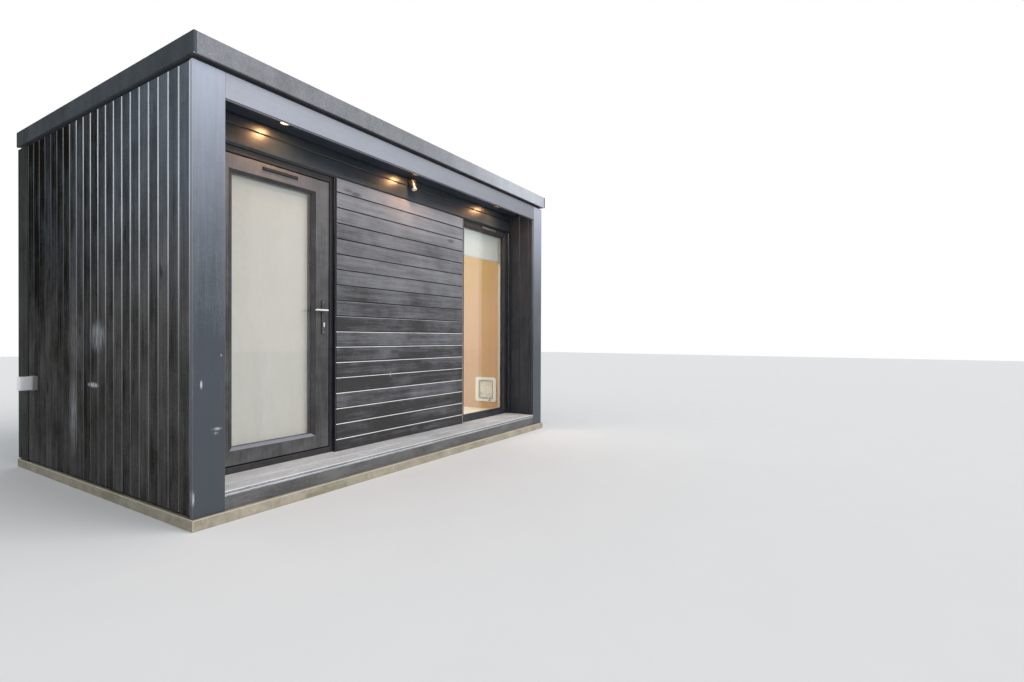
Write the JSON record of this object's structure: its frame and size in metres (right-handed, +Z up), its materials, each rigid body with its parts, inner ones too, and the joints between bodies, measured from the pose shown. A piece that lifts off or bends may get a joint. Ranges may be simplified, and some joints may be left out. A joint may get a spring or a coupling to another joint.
{
  "type": "garden office pod",
  "caption": "Small flat-roofed black timber garden office pod with a recessed front, step, glazed door, tall window and pet flap.",
  "frame": {"origin": "centre of the body's plan on the underside of the concrete base", "axes": "+X along the front to the right seen from outside, front faces -Y, +Z up"},
  "size_m": [3.81, 2.57, 2.55],
  "materials": {
    "concrete": "rough cast concrete",
    "floor_board": "pale laminate",
    "wall_lining": "smooth lining board",
    "black_timber": "black satin wood stain",
    "trim_sheet": "dusty grey coated sheet",
    "roof_rubber": "matt roofing rubber",
    "roof_core": "dark painted board",
    "decking": "weathered pale grey composite",
    "frame_profile": "dark brown foiled frame profile",
    "glazing": "clear glass",
    "door_furniture": "satin dark metal",
    "lever_steel": "polished",
    "hinge_steel": "satin",
    "dark_plastic": "satin",
    "white_plastic": "satin white",
    "blind_fabric": "plain woven cloth",
    "lamp_lens": "frosted warm lens"
  },
  "bodies": {
    "building": {"base_slab": "concrete", "floor": "floor_board", "left_wall": "wall_lining", "right_wall": "wall_lining", "back_wall": "wall_lining", "front_wall_piers": "wall_lining", "front_wall_head": "wall_lining", "post_boards": "black_timber", "fascia_board": "black_timber", "soffit": "black_timber", "roof_panel": "roof_core", "roof_sheet": "roof_rubber", "roof_trim_front": "trim_sheet", "roof_trim_sides": "trim_sheet", "roof_trim_back": "trim_sheet", "left_cladding": "black_timber", "right_cladding": "black_timber", "back_cladding": "black_timber", "front_cladding": "black_timber", "reveal_cladding": "black_timber", "corner_boards": "black_timber", "deck_board": "decking", "step_riser": "decking", "door_frame": "frame_profile", "hinge_frame_knuckles": "hinge_steel", "window_frame": "frame_profile", "window_glass": "glazing", "window_vent": "white_plastic", "blind_roller": "white_plastic", "blind_cloth": "blind_fabric", "lamp_rims": "hinge_steel", "lamp_lenses": "lamp_lens", "sensor_body": "dark_plastic", "sensor_lens": "white_plastic", "supply_box": "white_plastic", "pet_flap_frame": "white_plastic"},
    "door": {"door_leaf": "frame_profile", "door_beads": "frame_profile", "door_glass": "glazing", "door_blind": "blind_fabric", "door_vent": "dark_plastic", "door_plates": "door_furniture", "hinge_leaf_knuckles": "hinge_steel"},
    "lever": {"door_lever": "lever_steel"},
    "pet_flap": {"pet_flap": "white_plastic"}
  },
  "joints": [
    {"name": "door_hinge", "type": "hinge", "parent": "building", "child": "door", "pos_m": [-1.592, -0.9455, 1.1625], "axis": [0, 0, -1], "range_deg": [0, 90]},
    {"name": "lever_turn", "type": "hinge", "parent": "door", "child": "lever", "pos_m": [-0.795, -0.9375, 1.187], "axis": [0, -1, 0], "range_deg": [0, 35], "stiffness_Nm_per_rad": 0.8, "springref_deg": -20.05},
    {"name": "flap_swing", "type": "hinge", "parent": "building", "child": "pet_flap", "pos_m": [1.705, -0.6255, 0.495], "axis": [0, 1, 0], "range_deg": [-75, 75]}
  ]
}
